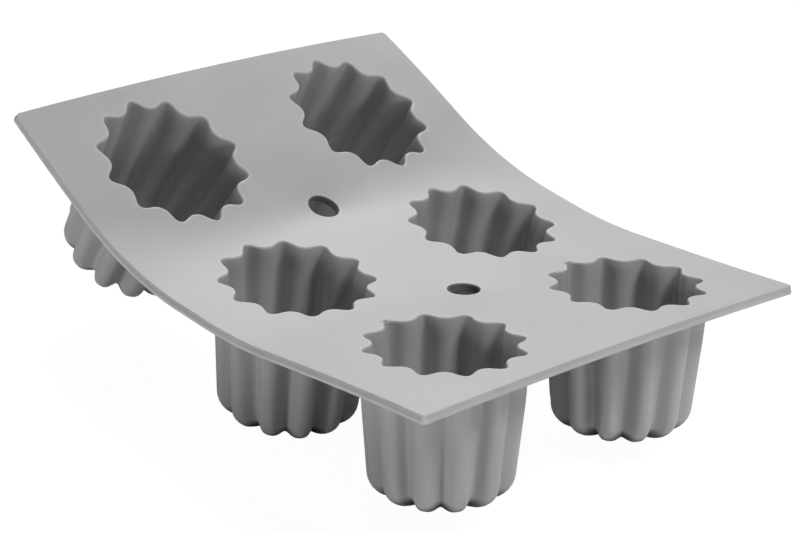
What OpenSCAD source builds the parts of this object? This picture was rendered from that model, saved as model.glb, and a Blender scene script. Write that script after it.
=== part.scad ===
// Flexible baking mould with six fluted wells, shown with its outer rows flexed upwards.
// One sheet carries three rows of two wells. The webs between the rows are where it bends.
// +X is the width, +Y runs from the front row to the rear row and +Z is up.
// The mould stands on the feet of the middle wells, and the origin is under its middle.

/* [Sheet] */
// Width of the sheet, left to right
sheet_w = 175; // [165:1:220]
// Sheet between the mouths of the outer rows and its front and rear edges
end_margin = 7.7; // [6:0.1:30]
// Thickness of the sheet
sheet_t = 3; // [2:0.25:5]
// Radius of the sheet's corners in plan
corner_r = 1; // [0.5:0.5:10]

/* [Wells] */
// Distance between the left and right wells
column_pitch = 87.5; // [75:0.5:100]
// Width of a well's mouth over the crests of its flutes
mouth_d = 54.6; // [45:0.2:60]
// Depth inside a well, from the top of the sheet
well_depth = 48.5; // [30:0.5:60]
// Number of flutes round a well
flutes = 12; // [8:4:16]
// Depth of a flute, from crest to root
flute_depth = 3.9; // [1:0.1:5]
// Draft of a well's wall from upright, in degrees
draft = 5.3; // [2:0.1:8]
// Thickness of a well's wall
wall_t = 1.5; // [1.2:0.1:2.3]
// Thickness of a well's floor
floor_t = 2.2; // [1.5:0.1:4]
// Outer radius between a well's wall and its foot
foot_r = 8; // [4:0.5:10]

/* [Flex] */
// Upward tilt of the front row against the middle row, in degrees
front_tilt = 11; // [2:0.5:30]
// Upward tilt of the rear row against the middle row, in degrees
rear_tilt = 24.5; // [2:0.5:30]
// Diameter of the hole in the middle of each web
web_hole_d = 10.5; // [6:0.5:20]
// Web left in front of the hole and behind it
web_margin = 0.95; // [0.3:0.05:10]

/* [Hidden] */
$fn = 64;

// Greys of the silicone: the lit sheet, the webs and the wells' outsides
sheet_grey = [0.77, 0.77, 0.78];
web_grey = [0.72, 0.72, 0.73];
well_grey = [0.58, 0.58, 0.59];

// Sides of a row, from the middle one: the front lies towards -Y and the rear towards +Y
FRONT = -1;
REAR = 1;
LEFT = -1;
RIGHT = 1;

// How far a cut runs past both faces of what it cuts
overrun = 1;
// Hairline between the end of a web and the row beyond it, so that the two never overlap
seam = 0.001;

// Facets across one flute, and across the rounded edge of a foot
flute_steps = 8;
foot_steps = 3;
// Second wave of the flutes: above 0 it sharpens the crests, and below 0 the roots.
// The wall's thickness rounds the crests outside, and more so towards the foot.
inner_crest_share = 0.13;
outer_crest_share = -0.1;
foot_crest_share = -0.2;
// Part of a flute's depth that has faded where the foot becomes flat
foot_fade_share = 0.15;

// A row's panel reaches to the crests of its wells, and a web to both sides of its hole.
// They set how far apart the rows are.
half_row = mouth_d / 2 + wall_t;
web_l = web_hole_d + 2 * web_margin;
outer_panel_l = half_row + mouth_d / 2 + end_margin;
// Inner radius between a well's wall and its floor
floor_r = foot_r - wall_t;
// Height of the middle of the sheet over the feet
sheet_z = well_depth + floor_t - sheet_t / 2;

// Radius of a web's middle surface, how far the corner of two rows lies beyond each row,
// where the row beyond it starts, and how far the web's ends rise over its middle
function bend_r(tilt) = web_l * 180 / (PI * tilt);
function corner_reach(tilt) = bend_r(tilt) * tan(tilt / 2);
function row_start(tilt) = corner_reach(tilt) + seam;
function bend_rise(tilt) = bend_r(tilt) * (1 - cos(tilt / 2));

// Fluted outline, from its radius over the crests, the flutes' depth and their second wave
function flute_wave(a, share) =
    (1 - cos(flutes * a)) / 2 + share * (1 - cos(2 * flutes * a)) / 2;
function fluted_ring(crest_r, depth, share) = [
    for (i = [0 : flutes * flute_steps - 1])
        let (a = i * 360 / (flutes * flute_steps))
        (crest_r - depth * flute_wave(a, share)) * [cos(a), sin(a)]
];

// Section of one skin of a well from its top, at the sheet's underside, to the edge of its
// flat bottom, as [depth, radius over the crests, flute depth, second wave]
function skin_r(top_r, depth) = top_r - (depth - sheet_t) * tan(draft);
function skin(top_r, depth, edge_r, top_share, foot_share) =
    let (edge_c = skin_r(top_r, depth - edge_r) - edge_r / cos(draft))
    concat(
        [[sheet_t, top_r, flute_depth, top_share]],
        [for (i = [0 : foot_steps])
            let (a = draft + (90 - draft) * i / foot_steps)
            [
                depth - edge_r * (1 - sin(a)),
                edge_c + edge_r * cos(a),
                flute_depth * (1 - foot_fade_share * i / foot_steps),
                foot_share
            ]
        ]
    );
inner_skin = skin(mouth_d / 2, well_depth, floor_r, inner_crest_share, inner_crest_share);
outer_skin = skin(
    mouth_d / 2 + wall_t, well_depth + floor_t, foot_r, outer_crest_share, foot_crest_share
);
inner_rise = [for (i = [len(inner_skin) - 1 : -1 : 0]) inner_skin[i]];

// Ends of the bent mould front and back, which set where its middle is.
// A row reaches as far as its panel's edge or the crests of its wells.
function row_reach(tilt) =
    let (
        corner = corner_reach(tilt),
        start = half_row + corner,
        beyond = row_start(tilt),
        panel_end = start + (beyond + outer_panel_l) * cos(tilt) + sheet_t / 2 * sin(tilt),
        well_end = max([
            for (p = outer_skin)
                start + (beyond + half_row + p[1]) * cos(tilt) + (p[0] - sheet_t / 2) * sin(tilt)
        ])
    )
    max(panel_end, well_end);
middle_y = (row_reach(front_tilt) - row_reach(rear_tilt)) / 2;

// Places its children in the frame of the standing mould
module standing() {
    translate([0, middle_y, sheet_z])
        children();
}

// Places its children on the middle surface of an outer row, measured from the line
// where that row and the middle row would meet
module on_row(side, tilt) {
    standing()
        translate([0, side * (half_row + corner_reach(tilt)), 0])
            rotate([side * tilt, 0, 0])
                children();
}

// Outline of a well's mouth
module mouth() {
    polygon(fluted_ring(mouth_d / 2, flute_depth, inner_crest_share));
}

// The mouths of one row
module row_mouths() {
    for (side = [LEFT, RIGHT])
        translate([side * column_pitch / 2, 0])
            mouth();
}

// Plan of an outer row's panel, from its web at y = 0 to the sheet's rounded end
module outer_plan() {
    difference() {
        union() {
            translate([-sheet_w / 2, 0])
                square([sheet_w, outer_panel_l - corner_r]);
            translate([corner_r - sheet_w / 2, 0])
                square([sheet_w - 2 * corner_r, outer_panel_l]);
            for (side = [LEFT, RIGHT])
                translate([side * (sheet_w / 2 - corner_r), outer_panel_l - corner_r])
                    circle(r = corner_r);
        }
        translate([0, half_row])
            row_mouths();
    }
}

// Sheet round the two wells of an outer row
module outer_panel(side, tilt) {
    color(sheet_grey)
        on_row(side, tilt)
            mirror([0, side == FRONT ? 1 : 0, 0])
                translate([0, row_start(tilt), -sheet_t / 2])
                    linear_extrude(sheet_t)
                        outer_plan();
}

// Sheet round the two wells of the middle row
module middle_panel() {
    color(sheet_grey)
        standing()
            translate([0, 0, -sheet_t / 2])
                linear_extrude(sheet_t)
                    difference() {
                        square([sheet_w, 2 * half_row], center = true);
                        row_mouths();
                    }
}

// Bent strip between two rows, with the hole in its middle
module web(side, tilt) {
    cut_h = sheet_t + 2 * (bend_rise(tilt) + overrun);
    color(web_grey)
        standing()
            mirror([0, side == FRONT ? 1 : 0, 0])
                translate([0, half_row, bend_r(tilt)])
                    difference() {
                        rotate([0, 90, 0])
                            rotate_extrude(angle = tilt)
                                translate([bend_r(tilt) - sheet_t / 2, -sheet_w / 2])
                                    square([sheet_t, sheet_w]);
                        rotate([tilt / 2, 0, 0])
                            translate([0, 0, -bend_r(tilt)])
                                cylinder(d = web_hole_d, h = cut_h, center = true);
                    }
}

// Fluted well hanging under the sheet, lofted through rings of its section:
// up the inner skin from the floor, over the top and down the outer skin to the foot.
// The floor and the foot are fans round their centres, which are the last two points.
module well(side) {
    section = concat(inner_rise, outer_skin);
    count = flutes * flute_steps;
    last = len(section) - 1;
    floor_centre = (last + 1) * count;
    foot_centre = floor_centre + 1;
    points = concat(
        [
            for (p = section)
                for (q = fluted_ring(p[1], p[2], p[3]))
                    [q[0], q[1], sheet_t / 2 - p[0]]
        ],
        [
            [0, 0, sheet_t / 2 - section[0][0]],
            [0, 0, sheet_t / 2 - section[last][0]]
        ]
    );
    caps = [
        for (i = [0 : count - 1])
            let (j = (i + 1) % count)
            each [[floor_centre, j, i], [foot_centre, last * count + i, last * count + j]]
    ];
    walls = [
        for (k = [0 : last - 1])
            for (i = [0 : count - 1])
                let (j = (i + 1) % count)
                [k * count + i, k * count + j, (k + 1) * count + j, (k + 1) * count + i]
    ];
    color(well_grey)
        translate([side * column_pitch / 2, 0, 0])
            polyhedron(points, concat(caps, walls), convexity = 4);
}

// Well of an outer row
module outer_well(row, tilt, side) {
    on_row(row, tilt)
        translate([0, row * (row_start(tilt) + half_row), 0])
            well(side);
}

module front_row_panel() { outer_panel(FRONT, front_tilt); }
module middle_row_panel() { middle_panel(); }
module rear_row_panel() { outer_panel(REAR, rear_tilt); }
module front_web() { web(FRONT, front_tilt); }
module rear_web() { web(REAR, rear_tilt); }
module front_left_well() { outer_well(FRONT, front_tilt, LEFT); }
module front_right_well() { outer_well(FRONT, front_tilt, RIGHT); }
module middle_left_well() { standing() well(LEFT); }
module middle_right_well() { standing() well(RIGHT); }
module rear_left_well() { outer_well(REAR, rear_tilt, LEFT); }
module rear_right_well() { outer_well(REAR, rear_tilt, RIGHT); }

front_row_panel();
middle_row_panel();
rear_row_panel();
front_web();
rear_web();
front_left_well();
front_right_well();
middle_left_well();
middle_right_well();
rear_left_well();
rear_right_well();
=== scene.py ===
"""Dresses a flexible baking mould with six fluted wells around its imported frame.

Every piece is drawn flat first: x is across the sheet, y runs along it from the middle row of
wells, and z is 0 on the sheet's top and negative below it. The flexed sheet then carries the
flat drawing into the row frame. The solids give the sheet's width, thickness and rows.
"""

import logging
import math
from collections.abc import Callable, Iterable
from dataclasses import dataclass, replace
from enum import Enum
from functools import cached_property
from typing import Any

import bmesh
import bpy
from bmesh.types import BMesh, BMEdge, BMVert
from mathutils import Matrix, Vector


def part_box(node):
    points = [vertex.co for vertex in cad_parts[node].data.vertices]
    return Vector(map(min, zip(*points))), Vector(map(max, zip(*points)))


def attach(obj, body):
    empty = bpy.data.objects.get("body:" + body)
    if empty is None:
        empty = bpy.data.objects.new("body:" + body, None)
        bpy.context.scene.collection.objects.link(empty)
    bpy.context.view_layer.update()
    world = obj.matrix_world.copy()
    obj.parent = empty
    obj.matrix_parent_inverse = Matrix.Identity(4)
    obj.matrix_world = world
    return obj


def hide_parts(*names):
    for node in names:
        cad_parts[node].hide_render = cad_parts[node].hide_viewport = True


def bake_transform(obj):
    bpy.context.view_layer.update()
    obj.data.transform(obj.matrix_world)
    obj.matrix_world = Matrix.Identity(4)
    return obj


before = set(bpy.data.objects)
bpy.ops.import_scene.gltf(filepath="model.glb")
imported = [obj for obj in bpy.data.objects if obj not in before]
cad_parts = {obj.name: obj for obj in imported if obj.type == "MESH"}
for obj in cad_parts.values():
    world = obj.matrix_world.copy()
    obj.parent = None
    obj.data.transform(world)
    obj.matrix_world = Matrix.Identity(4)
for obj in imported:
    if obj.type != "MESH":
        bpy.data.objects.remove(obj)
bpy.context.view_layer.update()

MM = 0.001
TOUCH = 1e-6
LOG = logging.getLogger("mould")


class Row(Enum):
    """Rows of wells, by the side of the middle one on which they lie."""

    FRONT = -1
    MIDDLE = 0
    REAR = 1

    @property
    def word(self) -> str:
        """Name of the row in the names of bodies and nodes."""
        return self.name.lower()

    @property
    def body(self) -> str:
        """CAD body that carries the row."""
        return f"{self.word}_row"


class Column(Enum):
    """Columns of wells, by their side of the middle."""

    LEFT = -1
    RIGHT = 1

    @property
    def word(self) -> str:
        """Name of the column in the names of nodes."""
        return self.name.lower()


@dataclass(frozen=True)
class MouldSizes:
    """Sizes of the flat mould.

    Attributes:
        row_pitch: Distance between rows of wells along the sheet.
        column_pitch: Distance between the left and right wells.
        end_margin: Sheet between the outer rows' mouths and its ends.
        corner_r: Radius of the sheet's corners.
        edge_r: Small radius round the sheet's edges.
        mouth_r: Radius of a mouth over the crests of its flutes.
        hole_r: Radius of a web's hole.
        hole_rim_r: Small radius round a web's hole.
    """

    row_pitch: float = 70.0 * MM
    column_pitch: float = 87.5 * MM
    end_margin: float = 7.7 * MM
    corner_r: float = 1.6 * MM
    edge_r: float = 0.35 * MM
    mouth_r: float = 27.3 * MM
    hole_r: float = 5.25 * MM
    hole_rim_r: float = 0.7 * MM

    @cached_property
    def panel_box(self) -> tuple[Vector, Vector]:
        """Lowest and highest corner of the middle row's solid panel."""
        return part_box("middle_row_panel")

    @property
    def half_width(self) -> float:
        """Half of the sheet's width, from the solids."""
        return self.panel_box[1].x

    @property
    def thickness(self) -> float:
        """Thickness of the sheet, from the solids."""
        return self.panel_box[1].z - self.panel_box[0].z

    @property
    def half_row(self) -> float:
        """Reach of a row's panel on either side of its wells, from the solids."""
        return (self.panel_box[1].y - self.panel_box[0].y) / 2

    @property
    def web_length(self) -> float:
        """Length of a web along the sheet."""
        return self.row_pitch - 2 * self.half_row

    @property
    def end_reach(self) -> float:
        """Distance from an outer row's wells to the sheet's end."""
        return self.mouth_r + self.end_margin


@dataclass(frozen=True)
class Bend:
    """One rounded bend across the sheet, which lifts what lies beyond it.

    Attributes:
        at: Distance of the bend's middle from the middle row.
        length: Length of sheet that bends, on the sheet's middle line.
        turn: Angle of the bend.
        spread: How much longer the bend is at the sheet's sides, as a share.
    """

    at: float
    length: float
    turn: float
    spread: float = 0.0


@dataclass(frozen=True)
class FlexedSheet:
    """Shape that the silicone takes when its outer rows curl up.

    Attributes:
        sizes: Sizes of the flat mould.
        shift: Place of the sheet's middle against the solids' (y, z).
        slope: Rise of the sheet towards the rear at the middle row.
        front: Bend in front of the middle row.
        rear: Bend behind the middle row.
        side_drop: How far the sides droop at the middle row, more so towards the rear, and
            at both ends.
        twist: How far the right side rises over the left one: with the distance from the
            middle row, its square and its cube.
        half_length: Distance from the middle row at which these are measured.
        web_dip: How far the sheet dips round the webs' holes.
        dip_reach: How far that dip reaches.
        probe: Distance over which the sheet's slope is measured.
    """

    sizes: MouldSizes
    shift: tuple[float, float] = (-0.4 * MM, -0.4 * MM)
    slope: float = math.radians(1.6)
    front: Bend = Bend(at=19.5 * MM, length=30.5 * MM, turn=math.radians(10.7))
    rear: Bend = Bend(at=33.0 * MM, length=17.0 * MM, turn=math.radians(22.6), spread=2.0)
    side_drop: tuple[float, float, float] = (1.3 * MM, 0.95 * MM, 0.95 * MM)
    twist: tuple[float, float, float] = (1.9 * MM, -1.4 * MM, -2.55 * MM)
    half_length: float = 105.0 * MM
    web_dip: float = 1.1 * MM
    dip_reach: float = 16.0 * MM
    probe: float = 0.05 * MM

    def section(self, across_share: float, along: float) -> tuple[float, float, float]:
        """Walks along the sheet from the middle row.

        Args:
            across_share: Distance from the middle line, as a share of half the width.
            along: Distance along the sheet, negative towards the front.

        Returns:
            The place (y, z) against the middle row, and the slope towards the rear.
        """
        side = 1 if along >= 0 else -1
        bend = self.rear if side > 0 else self.front
        length = bend.length * (1 + bend.spread * across_share**2)
        ahead = abs(along)
        rise = side * self.slope
        straight = min(ahead, bend.at - length / 2)
        y = straight * math.cos(rise)
        z = straight * math.sin(rise)
        curved = min(max(ahead - straight, 0), length)
        radius = length / bend.turn
        end_rise = rise + curved / radius
        y += radius * (math.sin(end_rise) - math.sin(rise))
        z += radius * (math.cos(rise) - math.cos(end_rise))
        rest = ahead - straight - curved
        y += rest * math.cos(end_rise)
        z += rest * math.sin(end_rise)
        return side * y, z, side * end_rise

    def warp(self, across: float, along: float) -> float:
        """Droop, twist and dips of the sheet off its section.

        Args:
            across: Distance from the middle line, to the right.
            along: Distance along the sheet from the middle row.

        Returns:
            The rise over the section.
        """
        u, t = across / self.sizes.half_width, along / self.half_length
        level, lean, ends = self.side_drop
        first, second, third = self.twist
        rise = -u * u * (level + lean * t + ends * t * t)
        rise += u * (first * t + second * t**2 + third * t**3)
        to_hole = math.hypot(across, abs(along) - self.sizes.row_pitch / 2)
        return rise - self.web_dip * math.exp(-((to_hole / self.dip_reach) ** 2))

    def top(self, across: float, along: float) -> Vector:
        """Carries a point of the flat sheet's top onto the flexed sheet.

        Args:
            across: Distance from the middle line, to the right.
            along: Distance along the sheet from the middle row.

        Returns:
            The point in the row frame.
        """
        low, high = self.sizes.panel_box
        y, z, slope = self.section(across / self.sizes.half_width, along)
        rise = self.warp(across, along)
        y += (low.y + high.y) / 2 + self.shift[0] - rise * math.sin(slope)
        z += high.z + self.shift[1] + rise * math.cos(slope)
        return Vector((across, y, z))

    def lay(self, flat: Vector) -> tuple[Vector, Vector]:
        """Carries a point of the flat mould onto the flexed sheet.

        Args:
            flat: Point across, along and over the flat sheet's top.

        Returns:
            The point in the row frame, and the sheet's upward normal there.
        """
        x, y, step = flat.x, flat.y, self.probe
        sideways = self.top(x + step, y) - self.top(x - step, y)
        onwards = self.top(x, y + step) - self.top(x, y - step)
        normal = sideways.cross(onwards).normalized()
        return self.top(x, y) + normal * flat.z, normal


class Draft:
    """A piece under construction, as a bmesh in the flat mould's coordinates.

    Attributes:
        SHARP: Angle between two faces from which their edge is sharp.
        FACING: Cosine of the angle up to which two directions count as the same way.
        bm: The bmesh.
        shade: Its layer of painted light and shade, by how much each point is lighter or darker.
    """

    SHARP = math.radians(50)
    FACING = 0.5

    def __init__(self) -> None:
        """Starts an empty piece."""
        self.bm: BMesh = bmesh.new()
        self.shade = self.bm.verts.layers.float.new("shade")

    def spin(self, points: Iterable[Vector], steps: int) -> list[BMVert]:
        """Turns a line of points about the upright axis into a surface.

        Args:
            points: Points of the line.
            steps: Number of steps in the full turn.

        Returns:
            The vertices of the surface.
        """
        before = set(self.bm.verts)
        line = [self.bm.verts.new(point) for point in points]
        edges = [self.bm.edges.new(pair) for pair in zip(line, line[1:])]
        bmesh.ops.spin(
            self.bm,
            geom=line + edges,
            cent=(0, 0, 0),
            axis=(0, 0, 1),
            angle=math.tau,
            steps=steps,
            use_merge=True,
        )
        return [v for v in self.bm.verts if v not in before]

    def weld(self) -> None:
        """Merges the vertices that lie on each other."""
        bmesh.ops.remove_doubles(self.bm, verts=self.bm.verts, dist=TOUCH)

    def annulus(self, points: int, rings: int, place: Callable[[int, float], Vector]) -> None:
        """Adds a flat ring-shaped surface and gives it its outlines.

        Args:
            points: Number of points round it.
            rings: Number of rings of faces.
            place: Gives the point at a step round it and a share of the way outwards.
        """
        line = [Vector((1 + i / rings, 0, 0)) for i in range(rings + 1)]
        for vert in self.spin(line, points):
            step = round(math.atan2(vert.co.y, vert.co.x) / math.tau * points) % points
            share = round((vert.co.length - 1) * rings) / rings
            vert.co = place(step, share)

    def thicken(self, thickness: float) -> list[BMVert]:
        """Gives a flat surface its thickness, downwards.

        Args:
            thickness: The thickness.

        Returns:
            The vertices of the underside.
        """
        top = set(self.bm.verts)
        bmesh.ops.recalc_face_normals(self.bm, faces=self.bm.faces)
        if sum(face.normal.z for face in self.bm.faces) < 0:
            bmesh.ops.reverse_faces(self.bm, faces=self.bm.faces)
        bmesh.ops.solidify(self.bm, geom=self.bm.faces[:], thickness=thickness)
        under = [v for v in self.bm.verts if v not in top]
        for vert in under:
            vert.co.z = -thickness
        for vert in top:
            vert.co.z = 0
        bmesh.ops.recalc_face_normals(self.bm, faces=self.bm.faces)
        return under

    def is_level(self, edge: BMEdge) -> bool:
        """Tests whether an edge lies in one level.

        Args:
            edge: An edge of the flat piece.

        Returns:
            True if both its ends are as deep.
        """
        return abs(edge.verts[0].co.z - edge.verts[1].co.z) < TOUCH

    def bevel(self, edges: list[BMEdge], radius: float, segments: int) -> None:
        """Rounds edges.

        Args:
            edges: The edges.
            radius: Radius of the rounding.
            segments: Number of faces across it.
        """
        bmesh.ops.bevel(
            self.bm,
            geom=edges,
            offset=radius,
            segments=segments,
            profile=0.5,
            affect="EDGES",
            material=-1,
        )

    def close(self) -> None:
        """Welds the piece, turns its faces outwards and marks its sharp edges."""
        self.weld()
        bmesh.ops.recalc_face_normals(self.bm, faces=self.bm.faces)
        for face in self.bm.faces:
            face.smooth = True
        for edge in self.bm.edges:
            edge.smooth = edge.calc_face_angle(0) < self.SHARP

    def become(
        self,
        name: str,
        place: Callable[[Vector], tuple[Vector, Vector]],
        thickness: float,
    ) -> bpy.types.Object:
        """Carries the flat piece to its place and makes it an object.

        Args:
            name: Name of the piece.
            place: Gives a flat point's place and the sheet's normal there.
            thickness: Thickness of the sheet, whose two faces keep the sheet's own normals.

        Returns:
            The object.
        """
        self.bm.verts.index_update()
        normals: dict[int, Vector] = {}
        for vert in self.bm.verts:
            depth = -vert.co.z
            vert.co, normal = place(vert.co.copy())
            if abs(depth) < TOUCH:
                normals[vert.index] = normal
            elif abs(depth - thickness) < TOUCH:
                normals[vert.index] = -normal
        mesh = bpy.data.meshes.new(name)
        self.bm.to_mesh(mesh)
        self.bm.free()
        corner_normals = [corner.vector.copy() for corner in mesh.corner_normals]
        for face in mesh.polygons:
            for corner in face.loop_indices:
                known = normals.get(mesh.loops[corner].vertex_index)
                if known is not None and face.normal.dot(known) > self.FACING:
                    corner_normals[corner] = known
        mesh.normals_split_custom_set(corner_normals)
        made = bpy.data.objects.new(name, mesh)
        bpy.context.scene.collection.objects.link(made)
        return made


@dataclass(frozen=True)
class Ring:
    """One ring of a well's section.

    Attributes:
        depth: Depth under the sheet's top.
        crest_r: Radius over the crests.
        flute: Depth of the flutes.
        share: Second wave of the flutes, which sharpens the crests above 0 and the roots below.
        offset: Distance outwards from the outline, square to it.
        shades: Painted light and shade, by how much lighter its crests and roots are, or darker
            below 0.
    """

    depth: float
    crest_r: float
    flute: float
    share: float
    offset: float = 0.0
    shades: tuple[float, float] = (0.0, 0.0)


@dataclass(frozen=True)
class Flutes:
    """Fluted outline of a well.

    Attributes:
        count: Number of flutes.
        steps: Points on each flute.
        depth: Depth of a flute from crest to root.
        foot_depth: Depth of a flute outside, over the foot.
        inner_share: Second wave inside, which sharpens the crests.
        outer_share: Second wave outside at the top and at the foot, where it sharpens the roots.
    """

    count: int = 12
    steps: int = 20
    depth: float = 3.9 * MM
    foot_depth: float = 4.7 * MM
    inner_share: float = 0.16
    outer_share: tuple[float, float] = (-0.12, -0.2)

    @property
    def points(self) -> int:
        """Number of points round the outline."""
        return self.count * self.steps

    def outline(self, turn: float, ring: Ring) -> Vector:
        """Gives a point of the outline.

        Args:
            turn: Angle round the well.
            ring: The ring of the well's section that it lies on.

        Returns:
            The point, seen from the well's middle.
        """
        wave, share, offset = self.count * turn, ring.share, ring.offset
        dip = (1 - math.cos(wave)) / 2 + share * (1 - math.cos(2 * wave)) / 2
        dip_slope = self.count * (math.sin(wave) / 2 + share * math.sin(2 * wave))
        radius, slope = ring.crest_r - ring.flute * dip, -ring.flute * dip_slope
        outwards = Vector((math.cos(turn), math.sin(turn), 0))
        sideways = Vector((-math.sin(turn), math.cos(turn), 0))
        normal = (outwards * radius - sideways * slope).normalized()
        return outwards * radius + normal * offset + Vector((0, 0, -ring.depth))

    def shade(self, turn: float, ring: Ring) -> float:
        """Gives how much lighter or darker a point of the outline is painted, as painted light and
        shade.

        Args:
            turn: Angle round the well.
            ring: The ring of the well's section that it lies on.

        Returns:
            How much lighter it is than the rest, or darker below 0.
        """
        crest, root = ring.shades
        return crest + (root - crest) * (1 - math.cos(self.count * turn)) / 2


@dataclass(frozen=True)
class WellForm:
    """Section of a well, the same for all six.

    Attributes:
        sizes: Sizes of the flat mould.
        flutes: Its fluted outline.
        depth: Depth inside, from the sheet's top.
        wall: Thickness of the wall.
        floor: Thickness of the floor.
        foot_r: Outer radius between the wall and the foot.
        rim_r: Small radius of the mouth's rim.
        rim_flat: Width of the level ring round the rim.
        rim_shade: Painted highlight, by how much lighter the rim is.
        inner_shade: Painted shade, by how much darker the inside is.
        draft: Draft of the wall.
        inner_left: Part of the flutes that is left at the edge of the floor.
        outer_left: Part of the flutes that is left at the edge of the foot.
        sunk: How far the outer wall starts inside the sheet.
        foot_shades: Painted shade on the foot and its bottom, at the crests and at the roots.
        foot_rises: Heights between which it darkens, at the crests and at the roots.
        wall_rings: Rings down a wall.
        edge_rings: Rings round the edge of a bottom.
        rim_rings: Rings round the rim.
        flat_rings: Rings from the edge of a bottom to its middle.
    """

    sizes: MouldSizes
    flutes: Flutes
    depth: float = 48.5 * MM
    wall: float = 1.25 * MM
    floor: float = 2.4 * MM
    foot_r: float = 9.5 * MM
    rim_r: float = 0.8 * MM
    rim_flat: float = 0.5 * MM
    rim_shade: float = 0.15
    inner_shade: float = -0.07
    draft: float = math.radians(5.3)
    inner_left: float = 0.8
    outer_left: float = 0.95
    sunk: float = 0.1 * MM
    foot_shades: tuple[float, float] = (-0.75, -0.92)
    foot_rises: tuple[tuple[float, float], ...] = ((3.3 * MM, 1.9 * MM), (4.6 * MM, 3.3 * MM))
    wall_rings: int = 14
    edge_rings: int = 8
    rim_rings: int = 4
    flat_rings: int = 4

    @property
    def foot_depth(self) -> float:
        """Depth of the foot under the sheet's top."""
        return self.depth + self.floor

    @property
    def opening(self) -> float:
        """Distance outwards from a mouth to the sheet round it."""
        return self.rim_r + self.rim_flat

    def skin(self, start: Ring, end: Ring, edge_r: float, foot_left: float) -> list[Ring]:
        """Rings of one side of a well's wall, from its top to the middle of its bottom.

        Args:
            start: The first ring.
            end: Depth of the bottom, and the flutes just over its edge.
            edge_r: Radius between the wall and the bottom.
            foot_left: Part of the flutes that is left at the flat bottom.

        Returns:
            The rings.
        """
        slope = math.tan(self.draft)
        edge_top = end.depth - edge_r * (1 - math.sin(self.draft))
        rings = []
        for i in range(self.wall_rings):
            way = i / self.wall_rings
            down = (edge_top - start.depth) * way
            rings.append(
                Ring(
                    start.depth + down,
                    start.crest_r - down * slope,
                    start.flute + (end.flute - start.flute) * way,
                    start.share + (end.share - start.share) * way,
                )
            )
        down = end.depth - edge_r - start.depth
        centre_r = start.crest_r - down * slope - edge_r / math.cos(self.draft)
        for i in range(self.edge_rings + 1):
            way = i / self.edge_rings
            angle = self.draft + (math.pi / 2 - self.draft) * way
            level = end.depth - edge_r * (1 - math.sin(angle))
            flute = end.flute * (1 - (1 - foot_left) * way)
            rings.append(Ring(level, centre_r + edge_r * math.cos(angle), flute, end.share))
        edge_flute = end.flute * foot_left
        for i in range(1, self.flat_rings + 1):
            left = 1 - i / self.flat_rings
            rings.append(Ring(end.depth, centre_r * left, edge_flute * left * left, end.share))
        return rings

    def mouth(self, offset: float) -> Ring:
        """Ring on the sheet's top, at a distance outwards from the mouth."""
        return Ring(0, self.sizes.mouth_r, self.flutes.depth, self.flutes.inner_share, offset)

    def rim(self) -> list[Ring]:
        """Rings of the mouth's rim, from the wall up to the sheet's top and outwards on it.

        Returns:
            The rings.
        """
        rings = []
        for i in range(self.rim_rings + 1):
            way = i / self.rim_rings
            angle = math.pi / 2 * way
            ring = self.mouth(self.rim_r * (1 - math.cos(angle)))
            depth = self.rim_r * (1 - math.sin(angle))
            # Painted highlight: the rim grows lighter towards the sheet's top.
            rings.append(replace(ring, depth=depth, shades=(self.rim_shade * way,) * 2))
        return rings + [self.mouth(self.opening)]

    def section(self) -> list[Ring]:
        """Rings of the whole well: up inside, over the rim and down outside.

        Returns:
            The rings, from the middle of the floor to the middle of the foot.
        """
        flutes, slope = self.flutes, math.tan(self.draft)
        rim = self.rim()
        bottom = replace(rim[0], depth=self.depth)
        # Painted shade: the whole inner skin is darkened.
        inner = [
            replace(ring, shades=(self.inner_shade,) * 2)
            for ring in self.skin(rim[0], bottom, self.foot_r - self.wall, self.inner_left)
        ]
        top_depth = self.sizes.thickness - self.sunk
        top_r = self.sizes.mouth_r + self.wall - top_depth * slope
        first, last = flutes.outer_share
        top = Ring(top_depth, top_r, flutes.depth, first)
        foot = Ring(self.foot_depth, 0, flutes.foot_depth, last)
        outer = self.skin(top, foot, self.foot_r, self.outer_left)
        # Painted shade towards the foot, darkest at the roots.
        outer = [replace(ring, shades=self.foot_tones(ring)) for ring in outer]
        return inner[:0:-1] + rim + outer

    def foot_tones(self, ring: Ring) -> tuple[float, float]:
        """How much painted shade darkens a ring of the outer wall towards the foot.

        Args:
            ring: The ring.

        Returns:
            Its shades at the crests and at the roots.
        """
        height = self.foot_depth - ring.depth
        crest, root = (
            darkest * min(max((first - height) / (first - last), 0), 1)
            for darkest, (first, last) in zip(self.foot_shades, self.foot_rises)
        )
        return crest, root


@dataclass(frozen=True)
class Give:
    """How far one well's mouth and foot are out of their drawn place and shape.

    Attributes:
        shift: Shift of the mouth, across and along the sheet.
        stretch: Stretch of the mouth, across and along the sheet.
        skew: Skew of the mouth.
        foot: Shift of the foot, across and along the sheet.
        turn: Turn of the foot against the mouth.
    """

    shift: tuple[float, float] = (0.0, 0.0)
    stretch: tuple[float, float] = (1.0, 1.0)
    skew: float = 0.0
    foot: tuple[float, float] = (0.0, 0.0)
    turn: float = 0.0


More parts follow.
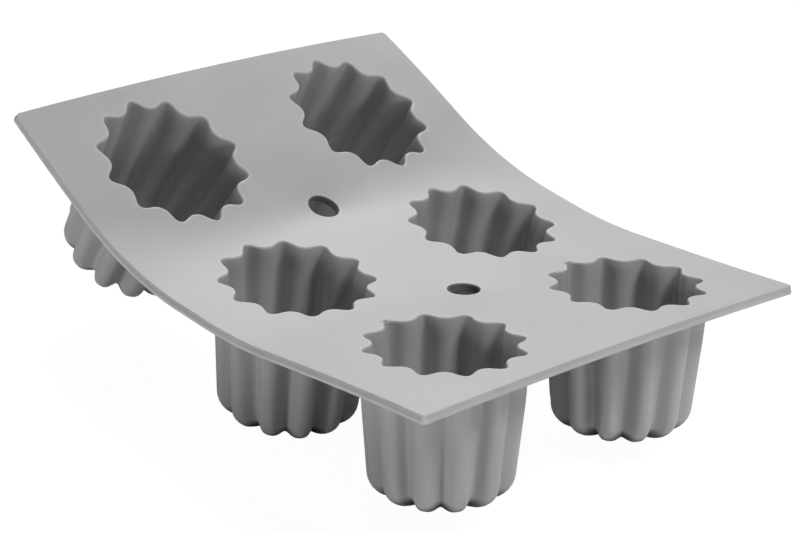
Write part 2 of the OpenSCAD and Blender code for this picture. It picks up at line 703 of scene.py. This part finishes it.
@dataclass
class Well:
    """One fluted well, from its rim to its foot.

    Attributes:
        sizes: Sizes of the flat mould.
        sheet: The flexed sheet that it hangs in.
        form: Its section.
        row: Its row.
        column: Its column.
        give: How far it is out of its drawn place and shape.
        fade: Height under the sheet over which its wall comes free of the sheet's bend.
        stand: Lowest height over the floor.
    """

    sizes: MouldSizes
    sheet: FlexedSheet
    form: WellForm
    row: Row
    column: Column
    give: Give = Give()
    fade: float = 16.0 * MM
    stand: float = 0.05 * MM

    def __post_init__(self) -> None:
        """Works out how the well hangs from its mouth."""
        centre = Vector()
        across = Vector()
        along = Vector()
        crests = self.form.flutes.count
        for i in range(crests):
            turn = math.tau * i / crests
            spot = Vector((math.cos(turn), math.sin(turn), 0)) * self.sizes.mouth_r
            flat = self.flat(spot)
            point = self.sheet.top(flat.x, flat.y)
            centre += point / crests
            across += point * math.cos(turn)
            along += point * math.sin(turn)
        across.normalize()
        down = along.cross(across).normalized()
        self.centre = centre
        self.axes = Matrix((across, across.cross(down), down)).transposed()

    @property
    def node(self) -> str:
        """CAD node of the well."""
        return f"{self.row.word}_{self.column.word}_well"

    def flat(self, local: Vector) -> Vector:
        """Place of a point of the well on the flat mould.

        Args:
            local: Point seen from the middle of the mouth.

        Returns:
            The point on the flat mould, with the mouth's own stretch.
        """
        give = self.give
        x = self.column.value * self.sizes.column_pitch / 2 + give.shift[0]
        y = self.row.value * self.sizes.row_pitch + give.shift[1]
        x += give.stretch[0] * local.x + give.skew * local.y
        y += give.stretch[1] * local.y + give.skew * local.x
        return Vector((x, y, local.z))

    def hang(self, local: Vector) -> tuple[Vector, Vector]:
        """Place of a point of the well: its rim follows the sheet, and its foot hangs free.

        Args:
            local: Point seen from the middle of the mouth.

        Returns:
            The point in the row frame, and the sheet's normal over it.
        """
        depth = -local.z
        lean = depth / self.form.foot_depth
        turned = Matrix.Rotation(self.give.turn * lean, 3, "Z") @ local
        x = turned.x + self.give.foot[0] * lean
        y = turned.y + self.give.foot[1] * lean
        free = self.centre + self.axes @ Vector((x, y, depth))
        free.z = max(free.z, self.stand)
        below = max((depth - self.sizes.thickness) / self.fade, 0)
        if below >= 1:
            return free, self.axes.col[2]
        on_sheet, normal = self.sheet.lay(self.flat(local))
        return on_sheet.lerp(free, below * below * (3 - 2 * below)), normal

    def build(self) -> bpy.types.Object:
        """Models the well and lets it replace its solid.

        Returns:
            The object.
        """
        draft = Draft()
        rings = self.form.section()
        points = self.form.flutes.points
        line = [Vector((1 + i, 0, 0)) for i in range(len(rings))]
        for vert in draft.spin(line, points):
            ring = rings[round(vert.co.length) - 1]
            step = round(math.atan2(vert.co.y, vert.co.x) / math.tau * points)
            turn = math.tau * step / points
            vert.co = self.form.flutes.outline(turn, ring)
            # Painted light and shade, from the ring's crests to its roots.
            vert[draft.shade] = self.form.flutes.shade(turn, ring)
        draft.close()
        made = draft.become(self.node + "_skin", self.hang, self.sizes.thickness)
        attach(made, self.row.body)
        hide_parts(self.node)
        return made


@dataclass
class Deck:
    """The sheet itself: a panel round each row of wells, and the webs between them.

    Attributes:
        sizes: Sizes of the flat mould.
        sheet: Shape of the flexed sheet.
        form: Section of the wells.
        wells: The wells, by row and column.
        across_steps: Steps across half of a row's cell round one well.
        along_steps: Steps along half of such a cell.
        corner_steps: Steps on either side of the middle of a rounded corner.
        cell_rings: Rings of faces from a mouth to the edge of its cell.
        web_steps: Steps along a web.
        hole_steps: Steps across half of the part of a web that surrounds its hole.
        hole_rings: Rings of faces round the hole.
        edge_segments: Faces across a rounded edge.
        opening_offset: Distance outwards from a mouth to the opening under the sheet.
        lip: How far the lower half of the sheet's edge stands out.
        lip_depths: Depths between which it comes out.
        lip_shade: Painted light, by how much lighter it is than the upper half.
        edge_shades: Painted light, by how much lighter the sheet's ends and sides are than its top.
        hole_round_share: Share of the radius round a hole over which its rim is rounded.
        hole_shades: Painted highlight on a hole's rim, and painted shade on its wall.
    """

    sizes: MouldSizes
    sheet: FlexedSheet
    form: WellForm
    wells: dict[tuple[Row, Column], Well]
    across_steps: int = 36
    along_steps: int = 24
    corner_steps: int = 4
    cell_rings: int = 12
    web_steps: int = 12
    hole_steps: int = 6
    hole_rings: int = 4
    edge_segments: int = 3
    opening_offset: float = 0.9 * MM
    lip: float = 0.3 * MM
    lip_depths: tuple[float, float] = (1.3 * MM, 1.6 * MM)
    lip_shade: float = 0.08
    edge_shades: tuple[float, float] = (0.0, 0.35)
    hole_round_share: float = 0.9
    hole_shades: tuple[float, float] = (0.12, -0.62)

    def panel(self, row: Row) -> bpy.types.Object:
        """Models the panel round one row's wells.

        Args:
            row: The row.

        Returns:
            The object.
        """
        draft = Draft()
        for column in Column:
            draft.annulus(
                self.form.flutes.points,
                self.cell_rings,
                lambda step, share: self.cell_point(row, column, step, share, self.form.opening),
            )
        draft.weld()
        underside = self.underside(row)
        for vert in draft.thicken(self.sizes.thickness):
            below = underside.get(self.key(vert.co))
            if below is not None:
                vert.co.xy = below.xy
        self.round_outline(draft)
        draft.close()
        made = draft.become(f"{row.word}_row_deck", self.sheet.lay, self.sizes.thickness)
        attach(made, row.body)
        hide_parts(f"{row.word}_row_panel")
        return made

    def underside(self, row: Row) -> dict[tuple[int, int], Vector]:
        """Places the points round a row's wells on the underside, where the openings are smaller.

        Args:
            row: The row.

        Returns:
            The places, by the names of the places over them.
        """
        places = {}
        for column in Column:
            for step in range(self.form.flutes.points):
                for ring in range(self.cell_rings):
                    share = ring / self.cell_rings
                    above = self.cell_point(row, column, step, share, self.form.opening)
                    below = self.cell_point(row, column, step, share, self.opening_offset)
                    places[self.key(above)] = below
        return places

    def key(self, point: Vector) -> tuple[int, int]:
        """Names a place on the flat sheet, to the micrometre.

        Args:
            point: The place.

        Returns:
            Its whole micrometres across and along.
        """
        return round(point.x / TOUCH), round(point.y / TOUCH)

    def cell_point(
        self, row: Row, column: Column, step: int, share: float, offset: float
    ) -> Vector:
        """Point of the part of a panel that surrounds one well.

        Args:
            row: The row.
            column: The column.
            step: Number of the point, counted round from the right.
            share: Its way from the opening, 0, to the outline, 1.
            offset: Distance of the opening outwards from the mouth.

        Returns:
            The point on the flat mould.
        """
        flutes = self.form.flutes
        mouth = flutes.outline(math.tau * step / flutes.points, self.form.mouth(offset))
        outline = self.cell_outline(row, column, step)
        outline.x += column.value * self.sizes.column_pitch / 2
        outline.y += row.value * self.sizes.row_pitch
        return self.wells[row, column].flat(mouth).lerp(outline, share)

    def cell_outline(self, row: Row, column: Column, step: int) -> Vector:
        """Point on the outline of the part of a panel that surrounds one well.

        Args:
            row: The row.
            column: The column.
            step: Number of the point, counted round from the right.

        Returns:
            The point, seen from the well's middle.
        """
        quarter = self.across_steps + self.along_steps
        x_side = 1 if step <= quarter or step >= 3 * quarter else -1
        y_side = 1 if step <= 2 * quarter else -1
        fold = step % (2 * quarter)
        fold = min(fold, 2 * quarter - fold)
        half = self.sizes.column_pitch / 2
        is_end = row.value == y_side
        reach = self.sizes.end_reach if is_end else self.sizes.half_row
        rounded = is_end and column.value == x_side
        radius = self.sizes.corner_r if rounded else 0
        before = self.along_steps - (self.corner_steps if rounded else 0)
        after = self.along_steps + (self.corner_steps if rounded else 0)
        if fold <= before:
            x, y = half, (reach - radius) * fold / before
        elif fold >= after:
            x, y = (half - radius) * (quarter - fold) / (quarter - after), reach
        else:
            angle = math.pi / 2 * (fold - before) / (after - before)
            x = half - radius + radius * math.cos(angle)
            y = reach - radius + radius * math.sin(angle)
        return Vector((x_side * x, y_side * y, 0))

    def web(self, row: Row) -> bpy.types.Object:
        """Models the web between an outer row and the middle one, with its hole.

        Args:
            row: The outer row.

        Returns:
            The object.
        """
        draft = Draft()
        middle = row.value * self.sizes.row_pitch / 2
        hole_points = 4 * (self.hole_steps + self.web_steps // 2)
        draft.annulus(
            hole_points,
            self.hole_rings,
            lambda step, share: self.hole_point(middle, step, share, hole_points),
        )
        pitch = self.sizes.column_pitch / 2 / self.across_steps
        inner = self.hole_steps * pitch
        columns = 2 * self.across_steps - self.hole_steps
        for side in (-1, 1):
            grid = bmesh.ops.create_grid(
                draft.bm, x_segments=columns, y_segments=self.web_steps, size=0.5
            )["verts"]
            scale = (self.sizes.half_width - inner, self.sizes.web_length, 1)
            shift = (side * (self.sizes.half_width + inner) / 2, middle, 0)
            bmesh.ops.scale(draft.bm, vec=scale, verts=grid)
            bmesh.ops.translate(draft.bm, vec=shift, verts=grid)
        draft.weld()
        draft.thicken(self.sizes.thickness)
        self.round_outline(draft)
        self.round_hole(draft, middle)
        draft.close()
        made = draft.become(f"{row.word}_web_strip", self.sheet.lay, self.sizes.thickness)
        near, far = (
            self.sheet.lay(Vector((0, middle + side * row.value * self.sizes.web_length / 2, 0)))[0]
            for side in (-1, 1)
        )
        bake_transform(made)
        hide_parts(f"{row.word}_web")
        return made

    def hole_point(self, middle: float, step: int, share: float, points: int) -> Vector:
        """Point of the part of a web that surrounds its hole.

        Args:
            middle: Place of the hole along the sheet.
            step: Number of the point, counted round from the right.
            share: Its way from the hole, 0, to the part's outline, 1.
            points: Number of points round the hole.

        Returns:
            The point on the flat mould.
        """
        quarter = points // 4
        half = self.web_steps // 2
        x_side = 1 if step <= quarter or step >= 3 * quarter else -1
        y_side = 1 if step <= 2 * quarter else -1
        fold = step % (2 * quarter)
        fold = min(fold, 2 * quarter - fold)
        x = self.hole_steps * self.sizes.column_pitch / 2 / self.across_steps
        y = self.sizes.web_length / 2
        if fold <= half:
            outline = Vector((x_side * x, y_side * y * fold / half, 0))
        else:
            outline = Vector((x_side * x * (quarter - fold) / (quarter - half), y_side * y, 0))
        turn = math.tau * step / points
        outwards = Vector((math.cos(turn), math.sin(turn), 0))
        rim_share = 1 / self.hole_rings
        if share < rim_share:
            point = outwards * self.sizes.hole_r
        else:
            rim = outwards * (self.sizes.hole_r + self.sizes.hole_rim_r)
            point = rim.lerp(outline, (share - rim_share) / (1 - rim_share))
        return point + Vector((0, middle, 0))

    def round_outline(self, draft: Draft) -> None:
        """Rounds the sheet's own edges, top and bottom, brings out their lower half and paints
        light on its sides.

        Args:
            draft: A part of the sheet, with its side walls.
        """
        rims = [e for e in draft.bm.edges if draft.is_level(e) and self.is_outline(e)]
        draft.bevel(rims, self.sizes.edge_r, self.edge_segments)
        for depth in self.lip_depths:
            bmesh.ops.bisect_plane(
                draft.bm,
                geom=[*draft.bm.verts, *draft.bm.edges, *draft.bm.faces],
                plane_co=(0, 0, -depth),
                plane_no=(0, 0, 1),
            )
        radius = self.sizes.corner_r
        arc = Vector((self.sizes.half_width, self.sizes.row_pitch + self.sizes.end_reach))
        arc -= Vector((radius, radius))
        end_shade, side_shade = self.edge_shades
        for vert in draft.bm.verts:
            depth = -vert.co.z
            out = Vector((max(abs(vert.co.x) - arc.x, 0), max(abs(vert.co.y) - arc.y, 0)))
            if depth < TOUCH or out.length < radius - self.sizes.edge_r - TOUCH:
                continue
            out.normalize()
            # Painted light: the side walls are lighter than the ends.
            vert[draft.shade] = end_shade + (side_shade - end_shade) * out.x
            if depth > self.lip_depths[1] - TOUCH:
                vert.co.x += math.copysign(out.x * self.lip, vert.co.x)
                vert.co.y += math.copysign(out.y * self.lip, vert.co.y)
                # Painted light on the lip.
                vert[draft.shade] += self.lip_shade

    def is_outline(self, edge: BMEdge) -> bool:
        """Tests whether an edge runs along the sheet's outline, where its side walls stand.

        Args:
            edge: An edge of the flat sheet.

        Returns:
            True for an edge of the outline.
        """
        length = self.sizes.row_pitch + self.sizes.end_reach
        radius = self.sizes.corner_r
        for vert in edge.verts:
            x = self.sizes.half_width - abs(vert.co.x)
            y = length - abs(vert.co.y)
            in_corner = x < radius - TOUCH and y < radius - TOUCH
            on_arc = in_corner and math.hypot(radius - x, radius - y) > radius - TOUCH
            if not on_arc and x > TOUCH and y > TOUCH:
                return False
        return any(abs(face.normal.z) < Draft.FACING for face in edge.link_faces)

    def round_hole(self, draft: Draft, middle: float) -> None:
        """Rounds the rim of a web's hole, top and bottom, paints a highlight on its rim and shade
        on its wall.

        Args:
            draft: The web, with its side walls.
            middle: Place of the hole along the sheet.
        """
        reach = self.sizes.hole_r + TOUCH
        centre = Vector((0, middle))
        rims = [
            e
            for e in draft.bm.edges
            if draft.is_level(e) and all((v.co.xy - centre).length < reach for v in e.verts)
        ]
        draft.bevel(rims, self.sizes.hole_rim_r * self.hole_round_share, self.edge_segments)
        rim_reach = reach + self.sizes.hole_rim_r
        for vert in draft.bm.verts:
            if (vert.co.xy - centre).length < rim_reach:
                # Painted highlight on the rim's top, painted shade on its wall.
                vert[draft.shade] = self.hole_shades[0 if -vert.co.z < TOUCH else 1]


class Signal:
    """An output socket of a shader, with the sums that the finishes need."""

    def __init__(self, graph: "Graph", socket: bpy.types.NodeSocket) -> None:
        """Wraps a socket.

        Args:
            graph: The shader that the socket is in.
            socket: The output socket.
        """
        self.graph = graph
        self.socket = socket

    def math(self, operation: str, left: Any, right: Any) -> "Signal":
        """Adds a Math node.

        Args:
            operation: What the node does.
            left: First value or signal.
            right: Second value or signal.

        Returns:
            The result.
        """
        return self.graph.node("ShaderNodeMath", {"operation": operation}, {0: left, 1: right})

    def __add__(self, other: Any) -> "Signal":
        """Sum of the signal and a value."""
        return self.math("ADD", self, other)

    def __radd__(self, other: Any) -> "Signal":
        """Sum of a value and the signal."""
        return self.math("ADD", other, self)

    def __sub__(self, other: Any) -> "Signal":
        """Difference of the signal and a value."""
        return self.math("SUBTRACT", self, other)

    def __rsub__(self, other: Any) -> "Signal":
        """Difference of a value and the signal."""
        return self.math("SUBTRACT", other, self)

    def __mul__(self, other: Any) -> "Signal":
        """Product of the signal and a value."""
        return self.math("MULTIPLY", self, other)

    def __rmul__(self, other: Any) -> "Signal":
        """Product of a value and the signal."""
        return self.math("MULTIPLY", other, self)


class Graph:
    """A shader under construction."""

    def __init__(self, tree: bpy.types.NodeTree) -> None:
        """Empties a node tree.

        Args:
            tree: The tree of a material or of the world.
        """
        self.tree = tree
        tree.nodes.clear()

    def node(
        self,
        kind: str,
        settings: dict[str, Any] | None = None,
        sockets: dict[str | int, Any] | None = None,
        output: str | int = 0,
    ) -> Signal | None:
        """Adds a node.

        Args:
            kind: Type of the node.
            settings: Its settings, and a ramp's stops as (place, colour) pairs.
            sockets: Values or signals of its input sockets.
            output: The output that is wanted.

        Returns:
            That output, or None for a node that has none.
        """
        made = self.tree.nodes.new(kind)
        for key, value in (settings or {}).items():
            if key == "stops":
                for stop, (place, colour) in zip(made.color_ramp.elements, value):
                    stop.position, stop.color = place, colour
            else:
                setattr(made, key, value)
        for key, value in (sockets or {}).items():
            if isinstance(value, Signal):
                self.tree.links.new(value.socket, made.inputs[key])
            else:
                made.inputs[key].default_value = value
        return Signal(self, made.outputs[output]) if made.outputs else None


@dataclass(frozen=True)
class Silicone:
    """Matt grey silicone, as it comes out of its mould.

    Attributes:
        colour: Its grey.
        cloud: Size of its soft clouds.
        cloud_share: How far its grey varies in them.
        cloud_ends: Noise at which a cloud is darkest and lightest.
        cloud_detail: Detail of the clouds.
        grain: Size of its fine grain, and how deep that is.
        grain_detail: Detail of the grain.
        roughness: Its roughness, and how far that varies.
        ior: Its index of refraction.
    """

    colour: tuple[float, float, float] = (0.56, 0.56, 0.565)
    cloud: float = 30.0 * MM
    cloud_share: float = 0.04
    cloud_ends: tuple[float, float] = (0.3, 0.7)
    cloud_detail: float = 3.0
    grain: tuple[float, float] = (0.5 * MM, 0.012 * MM)
    grain_detail: float = 2.0
    roughness: tuple[float, float] = (0.5, 0.08)
    ior: float = 1.41

    def material(self) -> bpy.types.Material:
        """Makes the finish.

        Returns:
            The material.
        """
        made = bpy.data.materials.new("grey_silicone")
        made.use_nodes = True
        graph = Graph(made.node_tree)
        place = graph.node("ShaderNodeTexCoord", output="Object")
        clouds = graph.node(
            "ShaderNodeTexNoise",
            sockets={"Vector": place, "Scale": 1 / self.cloud, "Detail": self.cloud_detail},
        )
        grain = graph.node(
            "ShaderNodeTexNoise",
            sockets={"Vector": place, "Scale": 1 / self.grain[0], "Detail": self.grain_detail},
        )
        greys = (
            (*(channel * level for channel in self.colour), 1.0)
            for level in (1 - self.cloud_share, 1 + self.cloud_share)
        )
        colour = graph.node(
            "ShaderNodeValToRGB",
            {"stops": tuple(zip(self.cloud_ends, greys))},
            {"Fac": clouds},
        )
        # The shade attribute scales the grey as painted light and shade: lighter rims, sides and
        # lip, darker insides, feet and hole walls.
        shade = graph.node("ShaderNodeAttribute", {"attribute_name": "shade"}, output="Fac")
        painted_light_colour = graph.node(
            "ShaderNodeVectorMath", {"operation": "SCALE"}, {0: colour, "Scale": 1 + shade}
        )
        roughness = self.roughness[0] + (clouds - 0.5) * self.roughness[1]
        normal = graph.node(
            "ShaderNodeBump",
            sockets={"Strength": 1.0, "Distance": self.grain[1], "Height": grain},
        )
        surface = graph.node(
            "ShaderNodeBsdfPrincipled",
            sockets={
                "Base Color": painted_light_colour,
                "Roughness": roughness,
                "Normal": normal,
                "IOR": self.ior,
            },
        )
        graph.node("ShaderNodeOutputMaterial", sockets={"Surface": surface})
        return made


@dataclass(frozen=True)
class Lamp:
    """A soft square lamp that looks at the mould.

    Attributes:
        name: Its name.
        turn: Its direction from the mould, from +X towards +Y.
        rise: Its height over the floor, as an angle.
        size: Its side.
        power: Its power.
        distance: Its distance from the mould.
    """

    name: str
    turn: float
    rise: float
    size: float
    power: float
    distance: float = 1.5

    def hang(self) -> None:
        """Adds the lamp to the scene."""
        data = bpy.data.lights.new(self.name, "AREA")
        data.energy, data.size = self.power, self.size
        lamp = bpy.data.objects.new(self.name, data)
        level = math.cos(self.rise)
        towards = Vector(
            (level * math.cos(self.turn), level * math.sin(self.turn), math.sin(self.rise))
        )
        lamp.location = towards * self.distance
        lamp.rotation_euler = (-towards).to_track_quat("-Z", "Y").to_euler()
        bpy.context.scene.collection.objects.link(lamp)


@dataclass(frozen=True)
class Studio:
    """Pale floor and plain soft light.

    Attributes:
        sky: Strength of the light from all sides.
        lamps: The lamps.
        floor_side: Side of the floor.
        floor_grey: Grey of the floor, as the light from it meets the mould.
        floor_glow: Brightness of the floor, as the camera sees it.
        shadow_share: How much of the mould's shadow the camera sees.
    """

    sky: float = 0.01
    lamps: tuple[Lamp, ...] = (
        Lamp("key_lamp", math.radians(50), math.radians(37), 0.7, 12.8),
        Lamp("high_lamp", math.radians(293), math.radians(60), 0.5, 9.8),
        Lamp("left_lamp", math.radians(175), math.radians(4), 0.4, 5.3),
        Lamp("front_lamp", math.radians(273), math.radians(5), 0.3, 3.0),
    )
    floor_side: float = 6.0
    floor_grey: float = 0.9
    floor_glow: float = 1.1
    shadow_share: float = 0.12

    def light(self) -> None:
        """Hangs the lamps and lights the world."""
        for lamp in self.lamps:
            lamp.hang()
        world = bpy.data.worlds.new("studio")
        world.use_nodes = True
        bpy.context.scene.world = world
        graph = Graph(world.node_tree)
        seen = graph.node("ShaderNodeLightPath", output="Is Camera Ray")
        strength = self.sky + seen * (1 - self.sky)
        light = graph.node("ShaderNodeBackground", sockets={"Strength": strength})
        graph.node("ShaderNodeOutputWorld", sockets={"Surface": light})

    def lay_floor(self) -> None:
        """Lays the floor, which is white to the camera but for a faint shadow."""
        bm = bmesh.new()
        bmesh.ops.create_grid(bm, x_segments=1, y_segments=1, size=self.floor_side / 2)
        mesh = bpy.data.meshes.new("floor")
        bm.to_mesh(mesh)
        bm.free()
        floor = bpy.data.objects.new("floor", mesh)
        bpy.context.scene.collection.objects.link(floor)
        material = bpy.data.materials.new("pale_floor")
        material.use_nodes = True
        graph = Graph(material.node_tree)
        seen = graph.node("ShaderNodeLightPath", output="Is Camera Ray")
        grey = (self.floor_grey,) * 3 + (1.0,)
        matt = graph.node("ShaderNodeBsdfDiffuse", sockets={"Color": grey})
        white = graph.node("ShaderNodeEmission", sockets={"Strength": self.floor_glow})
        share = seen * (1 - self.shadow_share)
        surface = graph.node("ShaderNodeMixShader", sockets={0: share, 1: matt, 2: white})
        graph.node("ShaderNodeOutputMaterial", sockets={"Surface": surface})
        mesh.materials.append(material)


@dataclass(frozen=True)
class PhotoCamera:
    """Camera at the photograph's viewing angle.

    Attributes:
        place: Where it stands.
        azimuth: Its direction, from +Y towards +X.
        elevation: Its height over the horizon, seen from the mould.
        roll: How far its right side is raised.
        lens: Its focal length.
    """

    place: tuple[float, float, float] = (-653.7 * MM, -612.3 * MM, 486.4 * MM)
    azimuth: float = math.radians(47.2)
    elevation: float = math.radians(26.3)
    roll: float = math.radians(7.95)
    lens: float = 130.9

    def aim(self) -> None:
        """Adds the camera to the scene and makes it the scene's own."""
        data = bpy.data.cameras.new("camera")
        data.lens = self.lens
        level = math.cos(self.elevation)
        ahead = Vector(
            (
                math.sin(self.azimuth) * level,
                math.cos(self.azimuth) * level,
                -math.sin(self.elevation),
            )
        )
        flat_right = Vector((math.cos(self.azimuth), -math.sin(self.azimuth), 0))
        flat_up = flat_right.cross(ahead)
        right = flat_right * math.cos(self.roll) + flat_up * math.sin(self.roll)
        up = right.cross(ahead)
        camera = bpy.data.objects.new("camera", data)
        turned = Matrix((right, up, -ahead)).transposed().to_4x4()
        camera.matrix_world = Matrix.Translation(self.place) @ turned
        bpy.context.scene.collection.objects.link(camera)
        bpy.context.scene.camera = camera


def well_gives() -> dict[tuple[Row, Column], Give]:
    """How each well sits in the flexed sheet.

    Returns:
        The give of each well's mouth and foot.
    """
    return {
        (Row.FRONT, Column.LEFT): Give(
            shift=(1.35 * MM, 1.65 * MM),
            stretch=(0.985, 0.985),
            skew=0.006,
            foot=(-0.3 * MM, 0.3 * MM),
        ),
        (Row.FRONT, Column.RIGHT): Give(
            shift=(0.8 * MM, 1.8 * MM),
            stretch=(0.99, 0.985),
            skew=0.002,
            foot=(0.3 * MM, 0.0),
        ),
        (Row.MIDDLE, Column.LEFT): Give(
            shift=(0.75 * MM, 0.55 * MM),
            stretch=(0.995, 0.965),
            foot=(0.4 * MM, -1.2 * MM),
            turn=0.03,
        ),
        (Row.MIDDLE, Column.RIGHT): Give(
            shift=(0.8 * MM, 0.5 * MM),
            stretch=(1.01, 0.985),
            skew=0.022,
        ),
        (Row.REAR, Column.LEFT): Give(
            shift=(0.5 * MM, -0.2 * MM),
            stretch=(1.0, 1.025),
            skew=0.002,
            foot=(-1.3 * MM, 0.4 * MM),
        ),
        (Row.REAR, Column.RIGHT): Give(
            shift=(0.55 * MM, -0.4 * MM),
            stretch=(0.99, 1.0),
            skew=-0.009,
        ),
    }


def main() -> None:
    """Builds the mould's pieces in order and reports each."""
    logging.basicConfig(level=logging.INFO, format="%(name)s: %(message)s")
    sizes = MouldSizes()
    sheet = FlexedSheet(sizes)
    form = WellForm(sizes, Flutes())
    wells = {
        key: Well(sizes, sheet, form, key[0], key[1], give) for key, give in well_gives().items()
    }
    deck = Deck(sizes, sheet, form, wells)
    pieces = [deck.panel(row) for row in Row]
    pieces += [deck.web(row) for row in (Row.FRONT, Row.REAR)]
    pieces += [well.build() for well in wells.values()]
    silicone = Silicone().material()
    for piece in pieces:
        piece.data.materials.append(silicone)
        LOG.info("%s: %d faces", piece.name, len(piece.data.polygons))
    studio = Studio()
    studio.light()
    studio.lay_floor()
    PhotoCamera().aim()
    bpy.context.scene.view_settings.view_transform = "Standard"


if __name__ == "__main__":
    main()
